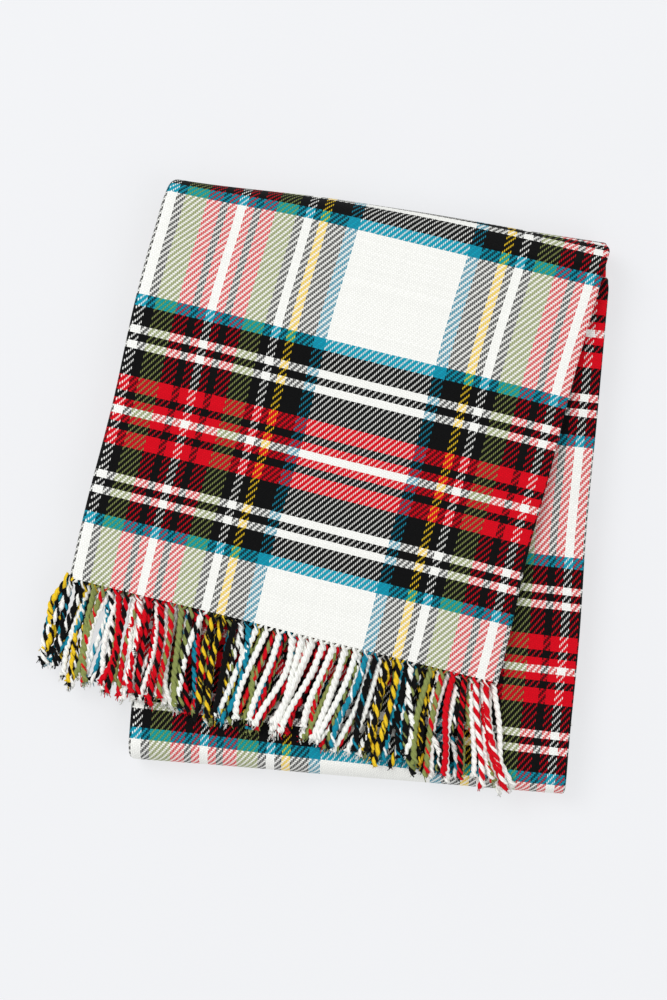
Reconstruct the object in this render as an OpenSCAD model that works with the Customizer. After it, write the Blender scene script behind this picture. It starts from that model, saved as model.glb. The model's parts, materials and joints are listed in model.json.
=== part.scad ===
// Folded wool blanket with a twisted fringe on both ends.
// The cloth is folded lengthwise into a strip of four plies, and the strip is
// rolled crosswise into four panels: bottom, top, inner and, over them, the flap.
// +X runs across the strip, +Y back to the fold that the flap opens about, +Z up.
// The origin is the centre of the face that the folded blanket rests on.

/* [Cloth] */
// Woven width of the open blanket
blanket_w = 1270; // [1000:10:1500]
// Length of the open blanket, fringe tip to fringe tip
blanket_l = 1524; // [1480:1:1550]
// Height that one ply takes in the stack
ply_pitch = 2.5; // [2.1:0.1:2.8]
// Air between two plies
ply_gap = 0.3; // [0.2:0.05:0.5]

/* [Folding] */
// Depth of the stack, from its front fold to the line that the flap opens about
stack_depth = 396; // [388:1:416]
// Length of the flap along its middle, fringe not counted
flap_l = 298; // [274:1:320]
// Distance from the back fold's line to the fold hidden inside it, on the short side
inner_tuck = 7; // [1:0.5:12]
// Angle in plan between the back fold and the strip's cross direction
fold_skew = 4.5; // [0:0.5:7]
// How far the cloth shifts sideways on its way round the back fold
fold_drift = 8; // [0:0.5:10]

/* [Fringe] */
// Length of a tassel
fringe_l = 76; // [50:1:90]
// Tassels side by side in one ply
tassels_per_ply = 40; // [20:1:60]
// Diameter of a tassel's twisted core
tassel_d = 3.7; // [2:0.1:3.8]

/* [Hidden] */
$fn = 64;
plies = 4;
panel_names = ["bottom_panel", "inner_panel", "top_panel", "flap"];
bottom = 0;
inner = 1;
top = 2;
flap = 3;
edge_names = ["left_outer_fold", "left_inner_fold", "right_fold"];
turns = 6;               // hinge lines that share the back fold's half turn
slats = turns - 1;

strip_w = blanket_w / plies;
ply_t = ply_pitch - ply_gap;
level_h = plies * ply_pitch;
panel_t = level_h - ply_gap;
flap_lift = ply_gap + 0.2;                      // keeps the flap clear of the stack
panel_z = [0, level_h, 2 * level_h, 3 * level_h - ply_gap + flap_lift];

// Round edges of a panel: the four plies' edge, and the edge of two plies
outer_r = panel_t / 2;
pair_r = ply_pitch - ply_gap / 2;
flat_left = -strip_w / 2 + outer_r;
flat_right = strip_w / 2 - pair_r;

// Back fold: a chain of flat slats between hinge lines on its inner face
turn_a = 180 / turns;
hinge_gap = ply_gap / 2;
hinge_z = panel_t + hinge_gap;
fold_h = panel_z[flap] - hinge_gap - hinge_z;
function sum_sin(n) = n == 0 ? 0 : sin(turn_a * n) + sum_sin(n - 1);
function sum_cos(n) = n == 0 ? 0 : cos(turn_a * n) + sum_cos(n - 1);
slat_l = fold_h / sum_sin(slats);
fold_y = stack_depth / 2;
fold_run = slats * slat_l;

// Stack: the front fold turns round the inner panel, the inner fold joins it to the top
front_r = 3 * level_h / 2 - ply_gap / 2;
inner_fold_r = level_h - ply_gap / 2;
front_y = -stack_depth / 2 + front_r;
inner_fold_y = fold_y - strip_w / 2 * tan(fold_skew) - inner_tuck - inner_fold_r;

// The inner panel takes what is left of the blanket's length
front_arc = PI * (front_r - panel_t / 2);
inner_arc = PI * (inner_fold_r - panel_t / 2);
back_arc = PI * (fold_h / 2 + panel_t / 2);
inner_l = blanket_l - 2 * fringe_l - flap_l - back_arc - (fold_y - front_y)
    - front_arc - (inner_fold_y - front_y) - inner_arc;

row_pitch = (panel_t - tassel_d) / (plies - 1);

function ply_z(panel, k, outer_up) =
    panel_z[panel] + (outer_up ? panel_t - ply_t - (k - 1) * ply_pitch : (k - 1) * ply_pitch);
function row_z(panel, k, outer_up) =
    panel_z[panel] + (outer_up ? panel_t - tassel_d / 2 - (k - 1) * row_pitch
                               : tassel_d / 2 + (k - 1) * row_pitch);

// Strip frame of a panel: x across, y along, with the panel's back end at y = 0
module at_panel(panel) {
    if (panel == flap)
        translate([-fold_drift * cos(fold_skew), fold_y + fold_drift * sin(fold_skew), 0])
            rotate([0, 0, -2 * fold_skew]) children();
    else if (panel == bottom)
        translate([0, fold_y, 0]) children();
    else
        translate([0, inner_fold_y, 0]) children();
}

// How far a panel runs forward of its back end
function panel_l(panel) = panel == flap ? flap_l
    : panel == bottom ? fold_y - front_y
    : panel == top ? inner_fold_y - front_y
    : inner_l;
// Slope of a panel's back end in its own strip frame
function end_slope(panel) = panel == flap ? tan(fold_skew)
    : panel == bottom ? -tan(fold_skew) : 0;
function end_gap(panel) = panel == flap || panel == bottom ? hinge_gap / cos(fold_skew) : 0;
// The outermost ply lies on top in the flap and the top panel, and below in the others
function outer_up(panel) = panel == flap || panel == top;

// One flat ply of a panel
module panel_ply(panel, k) {
    slope = end_slope(panel);
    gap = end_gap(panel);
    color("ivory") at_panel(panel)
        translate([0, 0, ply_z(panel, k, outer_up(panel))])
            linear_extrude(ply_t)
                polygon([[flat_left, -panel_l(panel)], [flat_right, -panel_l(panel)],
                         [flat_right, flat_right * slope - gap],
                         [flat_left, flat_left * slope - gap]]);
}

// Half ring whose open side faces +x, in its own plane
module half_ring(r, t) {
    difference() {
        circle(r);
        circle(r - t);
        translate([0, -2 * r]) square([2 * r, 4 * r]);
    }
}

// A lengthwise fold along one edge of a panel, turning from one ply into another
module edge_fold(panel, x, z, r, side) {
    edge_x = x + side * r;
    back = min(x * end_slope(panel), edge_x * end_slope(panel)) - end_gap(panel);
    color("whitesmoke") at_panel(panel)
        translate([x, back, panel_z[panel] + z])
            rotate([90, 0, 0])
                linear_extrude(panel_l(panel) + back)
                    mirror([side > 0 ? 1 : 0, 0]) half_ring(r, ply_t);
}

module left_outer_fold(panel) {
    edge_fold(panel, flat_left, panel_t / 2, outer_r, -1);
}

module left_inner_fold(panel) {
    edge_fold(panel, flat_left, panel_t / 2, outer_r - ply_pitch, -1);
}

module right_fold(panel) {
    z = outer_up(panel) ? panel_t - pair_r : pair_r;
    edge_fold(panel, flat_right, z, pair_r, 1);
}

// A crosswise fold: nested half rings, the outermost ply outside
module cross_fold(y, z, r, side) {
    color("whitesmoke")
        translate([0, y, z])
            rotate([90, 0, 90])
                linear_extrude(strip_w, center = true)
                    mirror([side > 0 ? 1 : 0, 0]) half_ring(r, ply_t);
}

module front_fold_ply(k) {
    cross_fold(front_y, front_r, front_r - (k - 1) * ply_pitch, -1);
}

module inner_fold_ply(k) {
    z = panel_z[inner] + inner_fold_r;
    cross_fold(inner_fold_y, z, inner_fold_r - (k - 1) * ply_pitch, 1);
}

// One flat stretch of the back fold, all four plies thick, between two hinge lines
module back_fold_slat(i) {
    start = (i - 1) * slat_l + hinge_gap;
    run = slat_l - 2 * hinge_gap;
    half_w = strip_w / 2 / cos(fold_skew);
    lean = -fold_drift / fold_run;
    color("skyblue")
        translate([0, fold_y, 0]) rotate([0, 0, -fold_skew])
            translate([0, slat_l * sum_cos(i - 1), hinge_z + slat_l * sum_sin(i - 1)])
                rotate([turn_a * i, 0, 0])
                    translate([0, hinge_gap, -hinge_gap - panel_t])
                        linear_extrude(panel_t)
                            polygon([[start * lean - half_w, 0], [start * lean + half_w, 0],
                                     [(start + run) * lean + half_w, run],
                                     [(start + run) * lean - half_w, run]]);
}

// The tassels at the end of one ply, staggered from ply to ply
module fringe_row(panel, k) {
    step = strip_w / tassels_per_ply;
    shift = k % 2 == 1 ? 0.25 : 0.75;
    color("linen") at_panel(panel)
        for (i = [0:tassels_per_ply - 1])
            translate([-strip_w / 2 + (i + shift) * step, -panel_l(panel),
                       row_z(panel, k, outer_up(panel))])
                rotate([90, 0, 0]) cylinder(h = fringe_l, d = tassel_d);
}

for (p = [bottom, inner, top, flap]) {
    name = panel_names[p];
    for (k = [1:plies])
        panel_ply(p, k);
    left_outer_fold(p);
    left_inner_fold(p);
    right_fold(p);
}
for (k = [1:plies]) {
    front_fold_ply(k);
    inner_fold_ply(k);
    fringe_row(flap, k);
    fringe_row(inner, k);
}
for (i = [1:slats])
    back_fold_slat(i);
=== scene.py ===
import json
import math

import bpy
import numpy as np
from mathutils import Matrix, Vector

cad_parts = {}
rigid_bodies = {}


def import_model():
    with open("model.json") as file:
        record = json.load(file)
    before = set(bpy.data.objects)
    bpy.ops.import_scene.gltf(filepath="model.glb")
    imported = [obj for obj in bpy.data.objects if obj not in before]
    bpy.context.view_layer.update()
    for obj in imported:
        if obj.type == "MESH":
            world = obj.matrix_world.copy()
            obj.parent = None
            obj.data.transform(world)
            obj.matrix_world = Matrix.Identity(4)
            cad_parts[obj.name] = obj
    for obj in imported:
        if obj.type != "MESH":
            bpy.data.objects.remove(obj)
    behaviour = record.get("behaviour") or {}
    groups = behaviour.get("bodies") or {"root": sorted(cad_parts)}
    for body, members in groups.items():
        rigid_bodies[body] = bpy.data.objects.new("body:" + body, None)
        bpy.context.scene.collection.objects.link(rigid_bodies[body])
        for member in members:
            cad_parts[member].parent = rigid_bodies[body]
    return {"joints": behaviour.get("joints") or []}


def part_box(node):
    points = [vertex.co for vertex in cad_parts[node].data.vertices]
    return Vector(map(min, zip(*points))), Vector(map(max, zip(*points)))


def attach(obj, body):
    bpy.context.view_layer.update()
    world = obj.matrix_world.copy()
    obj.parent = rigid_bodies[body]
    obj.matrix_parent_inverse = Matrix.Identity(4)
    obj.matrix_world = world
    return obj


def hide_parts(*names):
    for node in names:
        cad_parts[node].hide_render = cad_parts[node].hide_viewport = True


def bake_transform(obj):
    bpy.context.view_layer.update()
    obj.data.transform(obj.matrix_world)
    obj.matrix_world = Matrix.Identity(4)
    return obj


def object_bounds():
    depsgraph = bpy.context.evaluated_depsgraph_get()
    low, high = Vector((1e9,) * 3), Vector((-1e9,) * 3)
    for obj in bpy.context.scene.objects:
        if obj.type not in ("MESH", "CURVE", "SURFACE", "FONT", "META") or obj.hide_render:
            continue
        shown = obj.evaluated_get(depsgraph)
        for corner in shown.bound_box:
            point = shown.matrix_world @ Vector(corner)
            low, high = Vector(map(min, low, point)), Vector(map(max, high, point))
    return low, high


# A fringed tartan throw, folded into a pad of three levels with a flap on top. Metres, in the CAD's frame.
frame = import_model()
cad_low, cad_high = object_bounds()
rng = np.random.default_rng(20)

# ---------------------------------------------------------------- camera

ROLL = math.radians(4.8)  # the pad lies turned clockwise in the picture
SCALE = 0.0007167  # metres a pixel at the flap's height
LENS, SENSOR, PICTURE_HEIGHT = 85, 36, 1000

camera = bpy.data.objects.new("camera", bpy.data.cameras.new("camera"))
bpy.context.scene.collection.objects.link(camera)
camera.data.lens, camera.data.sensor_width = LENS, SENSOR
distance = SCALE * PICTURE_HEIGHT * LENS / SENSOR
camera.location = (-0.0259, 0.0008, cad_high.z + distance)
camera.rotation_euler = (0, 0, ROLL)
bpy.context.scene.camera = camera

# ---------------------------------------------------------------- the folds, from the CAD

PLY, PITCH = 0.0022, 0.0025  # a ply's thickness, and one ply to the next
PAD = 3 * PITCH + PLY  # four plies
STRIP = 0.3175  # the folded width, a quarter of the cloth's
DRIFT = 0.008  # how far the flap slid to the left as it was laid over
FLAP_LENGTH = 0.298

joints = frame["joints"]
bodies = [joints[0]["parent"]] + [j["child"] for j in joints]
hinge = Vector(joints[0]["pos_m"])
slat = (Vector(joints[1]["pos_m"]) - hinge).length
skew = math.atan2(joints[0]["axis"][1], -joints[0]["axis"][0])
sin_a, cos_a = math.sin(skew), math.cos(skew)

back_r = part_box("flap_ply_1")[1].z / 2
front_low, front_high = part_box("front_fold_ply_1")
front_r = front_high.z / 2
front_y = front_low.y + front_r
inner_low, inner_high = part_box("inner_fold_ply_1")
inner_r = (inner_high.z - inner_low.z) / 2
inner_z = (inner_high.z + inner_low.z) / 2
inner_y = inner_high.y - inner_r
inner_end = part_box("inner_panel_ply_1")[0].y

# s is the length along the cloth's outer face from the flap's fringe; these are where each stretch starts.
arc_start = -slat / 2
arc_total = math.pi * back_r - slat
S_BOTTOM = FLAP_LENGTH + arc_total / cos_a
S_FRONT = S_BOTTOM + hinge.y - front_y
S_TOP = S_FRONT + math.pi * front_r
S_INNER_FOLD = S_TOP + inner_y - front_y
S_INNER = S_INNER_FOLD + math.pi * inner_r
S_END = S_INNER + inner_y - inner_end


def place(x, s, d):
    """Where a bit of cloth lies: x across the folded strip, s along it, d in from the outer face."""
    f = x * cos_a + (s - FLAP_LENGTH) * sin_a
    g = (s - FLAP_LENGTH) * cos_a - x * sin_a
    turn = np.clip((g - arc_start) / back_r, 0, math.pi)
    done = turn / math.pi
    across = f - DRIFT * (1 - done) - arc_total * sin_a / cos_a * done
    along = np.minimum(g, arc_start) + (back_r - d) * np.sin(turn)
    folded = (
        across * cos_a + along * sin_a,
        hinge.y - across * sin_a + along * cos_a,
        back_r + (back_r - d) * np.cos(turn),
    )
    front = np.clip((s - S_FRONT) / front_r, 0, math.pi)
    inner = np.clip((s - S_INNER_FOLD) / inner_r, 0, math.pi)
    y = hinge.y - (np.minimum(s, S_FRONT) - S_BOTTOM)
    y = y - (front_r - d) * np.sin(front)
    y = y + np.clip(s - S_TOP, 0, S_INNER_FOLD - S_TOP)
    y = y + (inner_r - d) * np.sin(inner) - np.maximum(s - S_INNER, 0)
    z = front_r - (front_r - d) * np.cos(front)
    z = np.where(s > S_INNER_FOLD, inner_z + (inner_r - d) * np.cos(inner), z)
    in_stack = g >= arc_start + math.pi * back_r
    return np.stack(
        [np.where(in_stack, a, b) for a, b in zip((x + 0 * s, y, z), folded)], -1
    )


# ---------------------------------------------------------------- how the pad has settled


def waves(count, shortest, longest):
    """A smooth random field of plane waves, from about -1 to 1."""
    length = rng.uniform(shortest, longest, count)
    angle = rng.uniform(0, 2 * math.pi, count)
    phase = rng.uniform(0, 2 * math.pi, count)

    def field(a, b):
        total = 0
        for k in range(count):
            step = np.cos(angle[k]) * a + np.sin(angle[k]) * b
            total = total + np.sin(2 * math.pi * step / length[k] + phase[k])
        return total / count**0.5

    return field


LIFT, SWAY = 0.0009, 0.0006  # how much the heights and the edges vary
DROOP, DROOP_REACH = 0.007, 0.060  # of the flap's corner past the stack
SPREAD = 0.0040  # how far the flap and the upper fold stray to the right at the back
TUCK = 0.0045  # how far the back left corner is pushed in

lift = waves(6, 0.09, 0.24)
sway_x, sway_y = waves(5, 0.05, 0.20), waves(5, 0.05, 0.20)


def smooth(t):
    t = np.clip(t, 0, 1)
    return t * t * (3 - 2 * t)


def settle(p):
    """Moves points as one soft heap, so that nothing passes through its neighbour."""
    x, y, z = p[..., 0], p[..., 1], p[..., 2]
    height = z / cad_high.z
    droop = DROOP * smooth((-STRIP / 2 - x) / DROOP_REACH) * height
    spread = SPREAD * smooth((y - 0.04) / 0.12) * smooth(x / 0.14)
    spread = spread * smooth((height - 0.65) / 0.20)
    tucked = TUCK * smooth((-0.04 - x) / 0.11) * smooth((y - 0.16) / 0.05)
    return np.stack(
        [
            x + SWAY * sway_x(y, 3 * z) + spread,
            y + SWAY * sway_y(x, 3 * z) * 0.7 - tucked,
            z + LIFT * (lift(x, y) - 1) * height - droop,
        ],
        -1,
    )


# ---------------------------------------------------------------- the cloth's cross-section

LEFT_X, RIGHT_X = -0.1539, 0.1564  # centres of the lengthwise folds
SELVEDGE_X = 0.1566
OUTER_FOLD, INNER_FOLD = 1.5 * PITCH, 0.5 * PITCH  # radii of the cloth's middle
INSET = (0, 0, 0.0026, 0.0018)  # how far a ply's selvedge may stop short
PLY_SEGMENTS, FOLD_SEGMENTS = 40, 10
SLIP = 0.0042  # how far the outer fold has slipped round the left edge

depth = [PLY / 2 + k * PITCH for k in range(4)]
inset_wave = [waves(3, 0.08, 0.30) for _ in range(4)]


def u_at(ply, x):
    """The place across the whole cloth that a ply has at x."""
    slip = SLIP * smooth((-0.03 - x) / 0.13)
    return (
        STRIP * 1.5 + x - slip,
        STRIP * 2.5 - x,
        STRIP * 3.5 + x,
        STRIP * 0.5 - x - slip,
    )[ply]


def cross_section():
    """The cloth's middle line through the four plies: x, depth, normal, place u across the cloth, ply."""
    middle = (depth[0] + depth[3]) / 2
    rows = []

    def flat(ply, x0, x1):
        side = -1 if x1 > x0 else 1
        for x in np.linspace(x0, x1, PLY_SEGMENTS + 1):
            rows.append((x, depth[ply], 0, side, u_at(ply, x), ply))

    def fold(x, centre, radius, way_x, way_d, side, u0, u1, ply):
        for t in np.linspace(0, 1, FOLD_SEGMENTS + 1)[1:-1]:
            sa, ca = math.sin(math.pi * t), math.cos(math.pi * t)
            rows.append(
                (
                    x + way_x * radius * sa,
                    centre - way_d * radius * ca,
                    side * way_x * sa,
                    -side * way_d * ca,
                    u0 + (u1 - u0) * t,
                    ply,
                )
            )

    flat(3, SELVEDGE_X, LEFT_X)
    fold(LEFT_X, middle, OUTER_FOLD, -1, -1, 1, u_at(3, LEFT_X), u_at(0, LEFT_X), 3)
    flat(0, LEFT_X, RIGHT_X)
    centre = (depth[0] + depth[1]) / 2
    fold(RIGHT_X, centre, INNER_FOLD, 1, 1, 1, u_at(0, RIGHT_X), u_at(1, RIGHT_X), 0)
    flat(1, RIGHT_X, LEFT_X)
    fold(LEFT_X, middle, INNER_FOLD, -1, 1, -1, u_at(1, LEFT_X), u_at(2, LEFT_X), 1)
    flat(2, LEFT_X, SELVEDGE_X)
    return np.array(rows).T


def guide(k, x):
    """s on the k-th guide line: fringe, back fold's two edges, front, top, inner fold, inner panel, end."""
    fold_edge = FLAP_LENGTH + (arc_start + x * sin_a) / cos_a
    return [
        0 * x,
        fold_edge,
        fold_edge + math.pi * back_r / cos_a,
        S_FRONT + 0 * x,
        S_TOP + 0 * x,
        S_INNER_FOLD + 0 * x,
        S_INNER + 0 * x,
        S_END + 0 * x,
    ][k]


# How the woven pattern strays from an even weave, as the picture shows it.
STRETCH = 0.0139  # what the pattern gains along the bottom panel
ASKEW = 0.0288  # the weft's slope on the panels that follow
TIGHT = 0.0228  # what the pattern gains for each metre of the top panel and beyond
BACK_STRETCH = 0.0005  # what it gains where the flap rounds over into the back fold
LEAN_START, LEAN = 0.0022, 0.0172  # the flap's warp, in metres at the fringe and in metres a metre


def weft_place(x, s):
    """Where the cloth at x and s lies in the weft's pattern."""
    over = np.clip((s - S_BOTTOM) / (S_FRONT - S_BOTTOM), 0, 1)
    behind = (BACK_STRETCH - 0.003 * x) * smooth((s - FLAP_LENGTH + 0.070) / 0.075)
    tight = TIGHT * np.maximum(s - S_TOP, 0)
    return s + behind * (1 - over) + STRETCH * over + ASKEW * x * over + tight


def warp_place(u, s):
    """Where the cloth's place u lies in the warp's pattern at s.

    Away from its left edge, the flap's warp leans a little to the right."""
    lean = (LEAN_START - LEAN * s) * smooth((S_FRONT - s) / (S_FRONT - S_BOTTOM))
    return u + lean * smooth((u - STRIP) / 0.08)


def link_mesh(name, points, faces, floats, material):
    mesh = bpy.data.meshes.new(name)
    mesh.from_pydata(points.tolist(), [], faces)
    for key, values in floats.items():
        kind = "FLOAT_COLOR" if values.ndim == 2 else "FLOAT"
        field = "color" if values.ndim == 2 else "value"
        made = mesh.attributes.new(key, kind, "POINT")
        made.data.foreach_set(field, np.ascontiguousarray(values, np.float32).ravel())
    mesh.polygons.foreach_set("use_smooth", [True] * len(mesh.polygons))
    mesh.update()
    mesh.materials.append(material)
    obj = bpy.data.objects.new(name, mesh)
    bpy.context.scene.collection.objects.link(obj)
    return obj


def stretch_of_cloth(name, stations, material):
    """A closed shell of cloth through stations, each two guide lines and the share of the way between."""
    x, d, nx, nd, u, ply = cross_section()
    n = len(x)
    reach = np.clip((x - LEFT_X) / (RIGHT_X - LEFT_X), 0, 1)
    outline = [
        np.concatenate([a, b[::-1]])
        for a, b in (
            (x + nx * PLY / 2, x - nx * PLY / 2),
            (d + nd * PLY / 2, d - nd * PLY / 2),
            (u, u),
            (0 * x, 0 * x + 1),
            (ply, ply),
            (reach, reach),
        )
    ]
    x, d, u, inward, ply, reach = outline
    points, warp, v = [], [], []
    for a, b, share in stations:
        s = (1 - share) * guide(a, x) + share * guide(b, x)
        inset = sum(
            np.where(ply == k, INSET[k] * (0.5 + 0.5 * inset_wave[k](s, 0)), 0)
            for k in range(4)
        )
        points.append(settle(place(x - reach * inset, s, d)))
        warp.append(warp_place(u, s))
        v.append(weft_place(x, s))
    rows, cols = len(points), 2 * n
    points = np.array(points).reshape(-1, 3)
    warp, v = np.array(warp).ravel(), np.array(v).ravel()

    faces = []
    for r in range(rows - 1):
        for c in range(cols):
            e = (c + 1) % cols
            faces.append(
                (r * cols + c, r * cols + e, (r + 1) * cols + e, (r + 1) * cols + c)
            )
    for c in range(n - 1):
        rim = (c, c + 1, cols - 2 - c, cols - 1 - c)
        faces.append(rim[::-1])
        faces.append(tuple((rows - 1) * cols + k for k in rim))

    floats = {"u": warp, "v": v, "inward": np.tile(inward, rows)}
    obj = link_mesh(name, points, faces, floats, material)
    sharpen(obj.data, rows, cols, n)
    return obj


def sharpen(mesh, rows, cols, n):
    """Keeps the cut ends and the selvedges crisp."""
    ends = np.zeros(len(mesh.edges) * 2, int)
    mesh.edges.foreach_get("vertices", ends)
    a, b = ends.reshape(-1, 2).T
    row_a, row_b, col_a, col_b = a // cols, b // cols, a % cols, b % cols
    on_end = (row_a == row_b) & ((row_a == 0) | (row_a == rows - 1))
    on_selvedge = (col_a == col_b) & np.isin(col_a, (0, n - 1, n, cols - 1))
    crisp = mesh.attributes.new("sharp_edge", "BOOLEAN", "EDGE")
    crisp.data.foreach_set("value", on_end | on_selvedge)


# ---------------------------------------------------------------- yarns


def linear(*rgb):
    """A screen colour from 0 to 255, as linear light."""
    return tuple(
        ((c / 255 + 0.055) / 1.055) ** 2.4 if c > 10 else c / 255 / 12.92 for c in rgb
    ) + (1.0,)


YARN = {
    "ivory": linear(253, 253, 247),
    "azure": linear(22, 138, 164),
    "light azure": linear(14, 154, 178),
    "black": linear(9, 9, 10),
    "yellow": linear(243, 203, 40),
    "olive": linear(140, 150, 85),
    "red": linear(216, 3, 26),
}

# Half of each sett, in threads from a white block's middle to the next mirror line.
WARP = [
    ("ivory", 38),
    ("azure", 8),
    ("black", 13),
    ("yellow", 6),
    ("black", 5),
    ("ivory", 6),
    ("black", 6),
    ("olive", 15),
    ("red", 10),
    ("black", 5),
    ("red", 6),
    ("ivory", 3),
]
WEFT = [
    ("ivory", 29),
    ("light azure", 6),
    ("black", 10),
    ("ivory", 4),
    ("black", 4),
    ("ivory", 4),
    ("black", 14),
    ("red", 8),
    ("black", 4),
    ("red", 4),
    ("ivory", 2),
]
WARP_PITCH, WEFT_PITCH = 0.0010496, 0.001407
YARN_TWIST = 0.0042  # one full turn of the fine yarns in a fringe strand
WARP_CENTRE, WEFT_CENTRE = 0.49675, 0.0010  # a white block's middle, in u and in v


def warp_yarn(thread):
    """The colour of a warp thread, counted from the middle of a white block."""
    half = sum(count for _, count in WARP)
    at = (thread + 0.5) % (2 * half)
    at = min(at, 2 * half - at)
    for name, count in WARP:
        if at < count:
            return YARN[name]
        at -= count
    return YARN[WARP[-1][0]]


# ---------------------------------------------------------------- materials


class Shader:
    """A short way to write a material's nodes."""

    def __init__(self, name):
        self.material = bpy.data.materials.new(name)
        self.material.use_nodes = True
        self.tree = self.material.node_tree
        self.surface = self.tree.nodes["Principled BSDF"]

    def node(self, kind, inputs=(), **settings):
        made = self.tree.nodes.new(kind)
        for key, value in settings.items():
            setattr(made, key, value)
        for socket, value in dict(inputs).items():
            self.give(made.inputs[socket], value)
        return made

    def give(self, socket, value):
        if isinstance(value, bpy.types.NodeSocket):
            self.tree.links.new(value, socket)
        else:
            socket.default_value = value

    def math(self, operation, *values):
        return self.node(
            "ShaderNodeMath", enumerate(values), operation=operation
        ).outputs[0]

    def attribute(self, name, output="Fac"):
        return self.node("ShaderNodeAttribute", attribute_name=name).outputs[output]

    def noise(self, vector, scale, detail=2.0):
        return self.node(
            "ShaderNodeTexNoise",
            {"Vector": vector, "Scale": scale, "Detail": detail},
        ).outputs["Fac"]

    def speckle(self, number):
        """A random value from 0 to 1 for each whole number."""
        return self.node(
            "ShaderNodeTexWhiteNoise", {"W": number}, noise_dimensions="1D"
        ).outputs["Value"]

    def mix(self, share, a, b, blend_type="MIX"):
        made = self.node("ShaderNodeMix", data_type="RGBA", blend_type=blend_type)
        for socket, value in ((0, share), (6, a), (7, b)):
            self.give(made.inputs[socket], value)
        return made.outputs[2]

    def bands(self, at, sett):
        """The yarn at a share of the half-sett, from 0 to 1."""
        made = self.node("ShaderNodeValToRGB", {"Fac": at})
        ramp = made.color_ramp
        ramp.interpolation = "CONSTANT"
        total, start = sum(count for _, count in sett), 0
        for k, (name, count) in enumerate(sett):
            if k == 0:
                ramp.elements[0].color = YARN[name]
            elif k == 1:
                ramp.elements[1].position = start / total
                ramp.elements[1].color = YARN[name]
            else:
                ramp.elements.new(start / total).color = YARN[name]
            start += count
        return made.outputs["Color"]


WARP_SHARE = 0.70  # how much of its lane a raised warp thread covers; the weft fills the rest
WEFT_EDGE_TINT_AND_SHADE = 0.42  # how much the raised weft's edges darken towards the crossing yarn's colour, partly that yarn showing and partly painted shade, against 1 for the thinner warp


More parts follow.
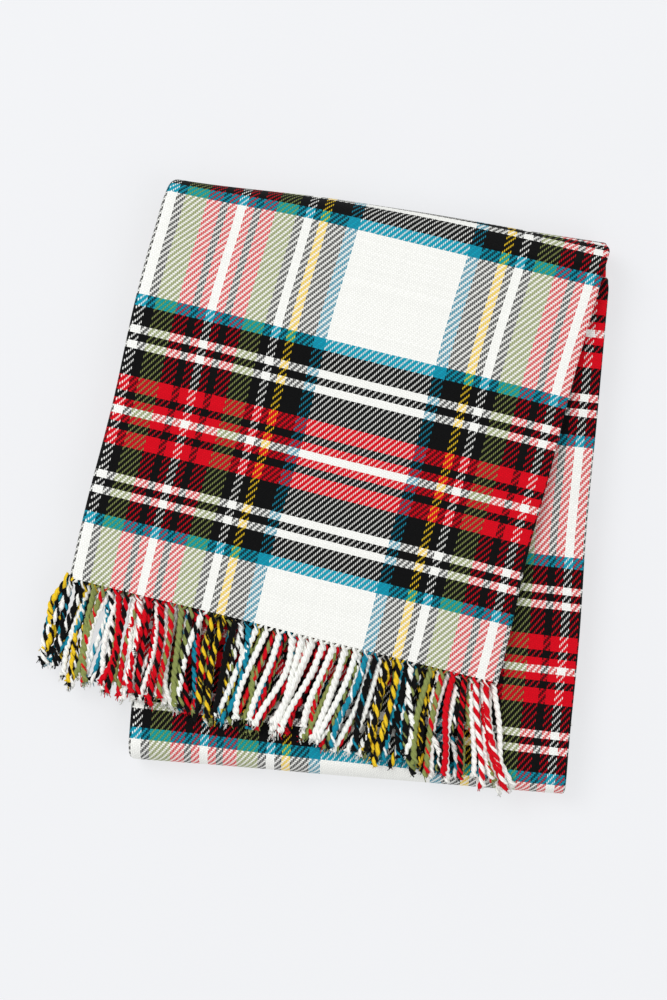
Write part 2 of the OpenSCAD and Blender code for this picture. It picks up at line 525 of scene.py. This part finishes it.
def tartan(name, fuzz):
    """A 2/2 wool twill, thread by thread, from the cloth's own places u and v."""
    g = Shader(name)
    u, v, inward = (g.attribute(k) for k in ("u", "v", "inward"))
    place_xyz = g.node("ShaderNodeTexCoord").outputs["Object"]
    wander = g.math("SUBTRACT", g.noise(place_xyz, 260), 0.5)

    def in_threads(at, centre, stray, pitch):
        strayed = g.math("MULTIPLY_ADD", wander, stray, at)
        return g.math("DIVIDE", g.math("SUBTRACT", strayed, centre), pitch)

    across = in_threads(u, WARP_CENTRE, 0.0005, WARP_PITCH)
    along = in_threads(v, WEFT_CENTRE, 0.0006, WEFT_PITCH)
    warp, weft = g.math("FLOOR", across), g.math("FLOOR", along)

    def sett_colour(thread, bands):
        half = sum(count for _, count in bands)
        at = g.math("PINGPONG", g.math("ADD", thread, 0.5), half)
        return g.bands(g.math("DIVIDE", at, half), bands)

    warp_colour = sett_colour(warp, WARP)
    weft_colour = sett_colour(weft, WEFT)

    # The step of the twill: two over, two under, one thread along at each pick.
    side = g.math("MULTIPLY", g.math("ROUND", inward), 2)
    step = g.math("ADD", g.math("SUBTRACT", warp, weft), side)
    step = g.math("FLOORED_MODULO", step, 4)
    lane = g.math("ABSOLUTE", g.math("SUBTRACT", g.math("FRACT", across), 0.5))
    raised = g.math("GREATER_THAN", step, 1.5)
    covered = g.math("LESS_THAN", lane, WARP_SHARE / 2)
    warp_up = g.math("MULTIPLY", raised, covered)

    # Height over each float: round across the thread, and falling to where it dives under.
    warp_run = g.math("SUBTRACT", g.math("SUBTRACT", step, g.math("FRACT", along)), 2)
    weft_run = g.math("SUBTRACT", g.math("ADD", step, g.math("FRACT", across)), 1)
    weft_lane = g.math("ABSOLUTE", g.math("SUBTRACT", g.math("FRACT", along), 0.5))

    def crown(run, lane_place, width):
        ends = g.math("COSINE", g.math("MULTIPLY", run, math.pi / 2.4))
        round_ = g.math("COSINE", g.math("MULTIPLY", lane_place, math.pi / width))
        return g.math("MULTIPLY", g.math("MAXIMUM", ends, 0), round_)

    warp_height = crown(warp_run, lane, 1.05)
    weft_height = crown(weft_run, weft_lane, 1.15)
    weft_height = g.math("MULTIPLY", weft_height, 0.92)
    height = g.node(
        "ShaderNodeMix", {0: warp_up, 2: weft_height, 3: warp_height}
    ).outputs[0]
    height = g.math("MAXIMUM", height, 0.12)

    # Each yarn has its grain. Along its edges it darkens towards the colour of the yarn that it crosses:
    # partly that yarn showing, partly painted shade where the float dives under.
    grain = g.noise(place_xyz, 2600, 3)
    down = g.noise(place_xyz, 900, 4)
    colour = g.mix(warp_up, weft_colour, warp_colour)
    beneath = g.mix(warp_up, warp_colour, weft_colour)
    clear = g.node(
        "ShaderNodeMapRange", {"Value": height, "From Min": 0.30, "From Max": 0.95}
    ).outputs["Result"]
    # Painted shade, with the crossing yarn's colour, along each float's edges.
    edge_tint_and_shade = g.math("MULTIPLY_ADD", warp_up, 1 - WEFT_EDGE_TINT_AND_SHADE, WEFT_EDGE_TINT_AND_SHADE)
    edge_tint_and_shade = g.math("MULTIPLY", edge_tint_and_shade, g.math("SUBTRACT", 1, clear))
    colour = g.mix(edge_tint_and_shade, colour, beneath, "DARKEN")
    odd_warp, odd_weft = g.speckle(warp), g.speckle(g.math("ADD", weft, 7000))
    odd = g.node("ShaderNodeMix", {0: warp_up, 2: odd_weft, 3: odd_warp}).outputs[0]
    # Painted shade: each float is darker towards its ends and sides, where it dives under the crossing
    # yarn; the grain and a random tone for each thread are the yarn's own.
    painted_shade_and_tone = g.math("MULTIPLY_ADD", height, 0.24, 0.78)
    painted_shade_and_tone = g.math("MULTIPLY", painted_shade_and_tone, g.math("MULTIPLY_ADD", grain, 0.12, 0.94))
    painted_shade_and_tone = g.math("MULTIPLY", painted_shade_and_tone, g.math("MULTIPLY_ADD", odd, 0.07, 0.965))
    haze = g.mix(
        g.math("MULTIPLY_ADD", down, fuzz, 0.0), colour, linear(205, 205, 200)
    )
    lit = g.mix(1.0, haze, shade_colour(g, painted_shade_and_tone), "MULTIPLY")
    g.give(g.surface.inputs["Base Color"], lit)

    rough = g.math("MULTIPLY_ADD", grain, 0.2, 0.78)
    g.give(g.surface.inputs["Roughness"], rough)
    g.surface.inputs["Specular IOR Level"].default_value = 0.05
    g.surface.inputs["Sheen Weight"].default_value = 0.025
    g.surface.inputs["Sheen Roughness"].default_value = 0.55
    bumps = g.math("MULTIPLY_ADD", grain, 0.35, height)
    bump = g.node(
        "ShaderNodeBump", {"Height": bumps, "Distance": 0.0003, "Strength": 0.6}
    )
    g.give(g.surface.inputs["Normal"], bump.outputs["Normal"])
    return g.material


def shade_colour(g, value):
    return g.node(
        "ShaderNodeCombineColor", {"Red": value, "Green": value, "Blue": value}
    ).outputs["Color"]


def rope_wool():
    """Twisted fringe yarn: the strand's own fine yarns with painted shade in the grooves between them, and
    loose fibres.
    """
    g = Shader("twisted_wool_fringe")
    yarn = g.attribute("yarn", "Color")
    along, around = g.attribute("along"), g.attribute("around")
    place_xyz = g.node("ShaderNodeTexCoord").outputs["Object"]
    twist = g.math("MULTIPLY_ADD", along, -1 / YARN_TWIST, g.math("MULTIPLY", around, 4))
    groove = g.math("ABSOLUTE", g.math("SINE", g.math("MULTIPLY", twist, math.pi)))
    grain = g.noise(place_xyz, 2400, 3)
    # Painted shade: darker in the grooves between the strand's fine yarns; the grain adds a random tone.
    painted_shade_and_tone = g.math("MULTIPLY_ADD", groove, 0.16, 0.86)
    painted_shade_and_tone = g.math("MULTIPLY", painted_shade_and_tone, g.math("MULTIPLY_ADD", grain, 0.2, 0.9))
    haze = g.mix(g.math("MULTIPLY", grain, 0.008), yarn, linear(205, 205, 200))
    lit = g.mix(1.0, haze, shade_colour(g, painted_shade_and_tone), "MULTIPLY")
    g.give(g.surface.inputs["Base Color"], lit)
    g.give(g.surface.inputs["Roughness"], g.math("MULTIPLY_ADD", grain, 0.2, 0.78))
    g.surface.inputs["Specular IOR Level"].default_value = 0.05
    g.surface.inputs["Sheen Weight"].default_value = 0.025
    g.surface.inputs["Sheen Roughness"].default_value = 0.55
    bumps = g.math("MULTIPLY_ADD", grain, 0.5, groove)
    bump = g.node(
        "ShaderNodeBump", {"Height": bumps, "Distance": 0.0003, "Strength": 0.8}
    )
    g.give(g.surface.inputs["Normal"], bump.outputs["Normal"])
    return g.material


cloth = tartan("tartan_wool_twill", 0.008)
fold_cloth = tartan("tartan_wool_twill_on_the_fold", 0.012)
fringe_wool = rope_wool()

# ---------------------------------------------------------------- the cloth's pieces


def run(a, b, count, first=0.0, last=1.0):
    """Stations from guide line a to b, between two shares of the way."""
    return [(a, b, t) for t in np.linspace(first, last, count + 1)]


def joined(first, second):
    """Two runs as one, without the station they share twice."""
    return first + second[1:]


flap = stretch_of_cloth("flap_cloth", run(0, 1, 48), cloth)

stations = run(2, 3, 60)
for a, b, count in ((3, 4, 16), (4, 5, 56), (5, 6, 12), (6, 7, 36)):
    stations = joined(stations, run(a, b, count))
stack = stretch_of_cloth("stack_cloth", stations, cloth)

back_folds = []
for k in range(6):
    first, last = (5 - k) / 6, (6 - k) / 6
    back_folds.append(
        stretch_of_cloth(
            f"back_fold_cloth_{k + 1}", run(1, 2, 6, first, last), fold_cloth
        )
    )

# ---------------------------------------------------------------- the fringe

TASSELS = 40  # in each ply's row
STEP = STRIP / TASSELS
LEAD = (-0.5, -0.35, 0.05, 0.15)  # where a row's first tassel stands, in steps from the edge
THREADS = 4  # warp threads in each of a tassel's two strands
flap_along = Vector((-math.sin(2 * skew), -math.cos(2 * skew), 0))
flap_across = Vector((math.cos(2 * skew), -math.sin(2 * skew), 0))

TWIST = 0.0105  # one full turn of a tassel's strands
HEAD = 0.0026  # half the spread of its two strands where they leave the cloth
CLOSE = 0.48  # how far the twisted strands' middles stand from the tassel's own, in strand radii
TOP_STRAND, LOWER_STRAND, HIDDEN_STRAND = 0.00162, 0.00154, 0.00095  # radii of a strand
# The stations along a strand, the sides of its tube, and its loose fibres at the tip.
TOP_DETAIL, LOWER_DETAIL, HIDDEN_DETAIL = (64, 8, 3), (48, 7, 3), (26, 6, 0)

def tassel(start, along, across, length, lateral, heights, strand_r, threads, detail):
    """One twisted tassel: two strands round each other on a smooth path, frayed at the tip.

    lateral gives the sideways path in metres and heights the path's z, from the share of the length."""
    count, sides, fibres = detail
    t = np.linspace(0, 1, count)
    path = (
        np.array(start)
        + np.outer(t * length, np.array(along))
        + np.outer(lateral(t), np.array(across))
    )
    path[:, 2] = heights(t, path)
    path = settle(path)
    tangent = np.gradient(path, axis=0)
    tangent /= np.linalg.norm(tangent, axis=1)[:, None]
    level = np.cross(tangent, (0, 0, 1))
    level /= np.linalg.norm(level, axis=1)[:, None]
    upward = np.cross(level, tangent)

    gather = smooth(t * length / 0.009)
    opened = smooth((t - 0.94) / 0.06)
    apart = HEAD * (1 - gather) + CLOSE * strand_r * gather + 0.0009 * opened
    turn = 2 * math.pi * np.maximum(t * length - 0.003, 0) / TWIST
    radius = strand_r * (0.6 + 0.4 * gather)
    points, faces, colour, reached, turned = [], [], [], [], []

    def tube(centre, r, sides_, colours):
        base = sum(len(p) for p in points)
        ring = np.arange(sides_) * 2 * math.pi / sides_
        n = len(centre)
        pts = centre[:, None, :] + r[:, None, None] * (
            np.cos(ring)[None, :, None] * level[-n:, None, :]
            + np.sin(ring)[None, :, None] * upward[-n:, None, :]
        )
        points.append(pts.reshape(-1, 3))
        for i in range(n - 1):
            for j in range(sides_):
                k = (j + 1) % sides_
                faces.append(
                    (
                        base + i * sides_ + j,
                        base + i * sides_ + k,
                        base + (i + 1) * sides_ + k,
                        base + (i + 1) * sides_ + j,
                    )
                )
        faces.append(tuple(base + j for j in range(sides_))[::-1])
        faces.append(tuple(base + (n - 1) * sides_ + j for j in range(sides_)))
        far = t[-n:] * length
        reached.append(np.repeat(far, sides_))
        turned.append(np.tile(ring / (2 * math.pi), n))
        which = (ring[None, :] / (2 * math.pi) * 4 - far[:, None] / YARN_TWIST) % 4
        colour.append(np.array(colours)[which.astype(int)].reshape(-1, 4))

    for strand in range(2):
        angle = turn + math.pi * strand
        centre = path + apart[:, None] * (
            np.cos(angle)[:, None] * level + np.sin(angle)[:, None] * upward
        )
        colours = [warp_yarn(k) for k in threads[strand]]
        tube(centre, radius, sides, colours)
        for _ in range(fibres):
            n = 5
            w = np.linspace(0, 1, n)[:, None]
            out = rng.normal(0, 1, 3) * (0.0011, 0.0011, 0.0005)
            wisp = centre[-n:] + w**1.3 * (
                out + np.array(along) * rng.uniform(0.0005, 0.0030)
            )
            thin = 0.00055 * (1.1 - 0.6 * w[:, 0])
            pick = colours[rng.integers(len(colours))]
            tube(wisp, thin, 4, [pick] * 4)
    return (
        np.concatenate(points),
        faces,
        np.concatenate(colour),
        np.concatenate(reached),
        np.concatenate(turned),
    )


def fringe_row(name, made):
    """Joins a row's tassels into one piece."""
    points, faces, offset = [], [], 0
    for p, f, *_ in made:
        points.append(p)
        faces += [tuple(offset + k for k in face) for face in f]
        offset += len(p)
    floats = {
        key: np.concatenate([m[i] for m in made])
        for key, i in (("yarn", 2), ("along", 3), ("around", 4))
    }
    return link_mesh(name, np.concatenate(points), faces, floats, fringe_wool)


paths = [None] * TASSELS
LYING = (0.0078, 0.0050, 0.0052, 0.0028)  # each row's height over the top panel
REACH = 0.072
top_z = front_high.z


def support(x, y):
    """The fall of the surface under the fringe, past the stack's left and front edges."""
    past = np.hypot(np.maximum(LEFT_X - x, 0) * 0.35, np.maximum(front_y - y, 0))
    return np.minimum(past**2 / (2 * front_r), 0.009)


def sweep(share):
    """How far a flap tassel's tip strays sideways, by its place along the fringe.

    It goes one way at the left corner, back and forth along the middle, and far past the right corner."""
    places = (0.0, 0.08, 0.16, 0.36, 0.46, 0.62, 0.72, 0.80, 0.90, 1.0)
    strays = (-4, -2, 8, 11, -9, -13, -7, 7, 12, 33)
    return (np.interp(share, places, strays) + rng.normal(0, 4.6)) / 1000


def flap_row(row):
    """The flap's tassels on one ply. In the middle, rows 2 and 4 follow those of the ply above."""
    made = []
    for k in range(TASSELS):
        x = -STRIP / 2 + (k + LEAD[row]) * (STRIP / (TASSELS - 0.5))
        share = k / TASSELS
        edge = np.clip(x, LEFT_X - 0.004, RIGHT_X)
        start = place(edge, np.array(0.002), np.array(depth[row]))
        first = int((warp_place(u_at(row, x), 0) - WARP_CENTRE) // WARP_PITCH) - THREADS
        if u_at(row, x + 0.001) > u_at(row, x):
            threads = (range(first, first + 4), range(first + 4, first + 8))
        else:
            threads = (range(first + 7, first + 3, -1), range(first + 3, first - 1, -1))
        if row % 2 == 0 or not 0.42 < share < 0.64:
            paths[k] = (sweep(share), rng.normal(0, 0.0040), rng.normal(0, 0.0022))
        tip, bow, kink = paths[k]
        hooked = 0.012 * (1 - smooth(share / 0.07))
        length = REACH + rng.normal(0, 0.0035) + 0.002 - hooked
        rise = max(0, rng.normal(0, 0.0008))

        def lateral(t, tip=tip, bow=bow, kink=kink):
            return (
                tip * t**1.6
                + bow * np.sin(math.pi * t)
                + kink * np.sin(2 * math.pi * t) * t
            )

        def heights(t, path, row=row, rise=rise, length=length):
            out = smooth(t * length / 0.016)
            lying = top_z + LYING[row] - support(path[:, 0], path[:, 1])
            from_cloth = 2 * back_r - depth[row]
            return from_cloth * (1 - out) + (lying + rise * t) * out

        detail = TOP_DETAIL if row == 0 else LOWER_DETAIL
        strand_r = TOP_STRAND if row == 0 else LOWER_STRAND
        made.append(
            tassel(
                start,
                flap_along,
                flap_across,
                length,
                lateral,
                heights,
                strand_r,
                threads,
                detail,
            )
        )
    return fringe_row(f"flap_fringe_{row + 1}", made)


def inner_row(row):
    """The hidden end's fringe, lying straight between the bottom and top panels."""
    made = []
    for k in range(TASSELS):
        x = -STRIP / 2 + (k + (0.25, 0.75)[row % 2]) * STEP
        start = place(np.array(x), np.array(S_END - 0.002), np.array(depth[row]))
        first = int((u_at(row, x) - WARP_CENTRE) // WARP_PITCH) - THREADS
        threads = (range(first, first + 4), range(first + 4, first + 8))
        tip = rng.normal(0, 0.003)
        made.append(
            tassel(
                start,
                Vector((0, -1, 0)),
                Vector((1, 0, 0)),
                REACH,
                lambda t, tip=tip: tip * t**1.5,
                lambda t, path, z=float(start[2]): z + 0 * t,
                HIDDEN_STRAND,
                threads,
                HIDDEN_DETAIL,
            )
        )
    return fringe_row(f"inner_fringe_{row + 1}", made)


flap_fringe = [flap_row(row) for row in range(4)]
inner_fringe = [inner_row(row) for row in range(4)]

# ---------------------------------------------------------------- what moves with what

PLIES = range(1, 5)


def panel_nodes(panel):
    turns = ("left_outer_fold", "left_inner_fold", "right_fold")
    return [f"{panel}_ply_{k}" for k in PLIES] + [f"{panel}_{turn}" for turn in turns]


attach(flap, bodies[-1])
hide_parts(*panel_nodes("flap"))
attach(stack, bodies[0])
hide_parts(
    *panel_nodes("bottom_panel"),
    *panel_nodes("top_panel"),
    *panel_nodes("inner_panel"),
    *[f"front_fold_ply_{k}" for k in PLIES],
    *[f"inner_fold_ply_{k}" for k in PLIES],
)


def fold_point(k):
    """A point near the fold's outer face, above the middle of the k-th slat from the bottom."""
    turn = math.pi * (1 - k / 6)
    radius = back_r - 0.1 * PAD
    out = arc_start + radius * math.sin(turn)
    return (
        out * sin_a,
        hinge.y + out * cos_a,
        back_r + radius * math.cos(turn),
    )


for k, piece in enumerate(back_folds):
    fold_point(k)
    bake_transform(piece)
for k in range(1, 6):
    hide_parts(f"back_fold_slat_{k}")

for k in PLIES:
    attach(flap_fringe[k - 1], bodies[-1])
    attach(inner_fringe[k - 1], bodies[0])
    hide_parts(f"flap_fringe_row_{k}")
    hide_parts(f"inner_panel_fringe_row_{k}")

# ---------------------------------------------------------------- floor, light and background


def floor_material():
    g = Shader("pale_floor")
    place_xyz = g.node("ShaderNodeTexCoord").outputs["Object"]
    soft = g.noise(place_xyz, 6)
    g.give(
        g.surface.inputs["Base Color"],
        g.mix(soft, linear(128, 129, 132), linear(131, 132, 135)),
    )
    g.give(g.surface.inputs["Roughness"], g.math("MULTIPLY_ADD", soft, 0.1, 0.8))
    g.surface.inputs["Specular IOR Level"].default_value = 0.1
    g.surface.inputs["Emission Color"].default_value = (0.985, 0.99, 1.0, 1)
    g.surface.inputs["Emission Strength"].default_value = 0.655
    return g.material


def floor():
    side = np.linspace(-30, 30, 7)
    grid = np.array([(x, y, -0.0004) for y in side for x in side])
    faces = [
        (r * 7 + c, r * 7 + c + 1, (r + 1) * 7 + c + 1, (r + 1) * 7 + c)
        for r in range(6)
        for c in range(6)
    ]
    return link_mesh("studio_floor", grid, faces, {}, floor_material())


ground = floor()


def area_light(name, location, size, power, colour):
    data = bpy.data.lights.new(name, "AREA")
    data.shape, data.size, data.energy, data.color = "DISK", size, power, colour
    made = bpy.data.objects.new(name, data)
    bpy.context.scene.collection.objects.link(made)
    made.location = location
    made.rotation_euler = (-Vector(location)).to_track_quat("-Z", "Y").to_euler()


area_light("key_light", (-2.0, 1.5, 3.2), 2.2, 66, (1.0, 1.0, 1.0))
area_light("fill_light", (2.2, -1.2, 3.4), 3.0, 28, (1.0, 0.99, 1.0))

world = bpy.data.worlds.new("studio")
world.use_nodes = True
background = world.node_tree.nodes["Background"]
background.inputs["Color"].default_value = (0.97, 0.98, 1.0, 1)
background.inputs["Strength"].default_value = 0.70
bpy.context.scene.world = world
bpy.context.scene.view_settings.view_transform = "Standard"
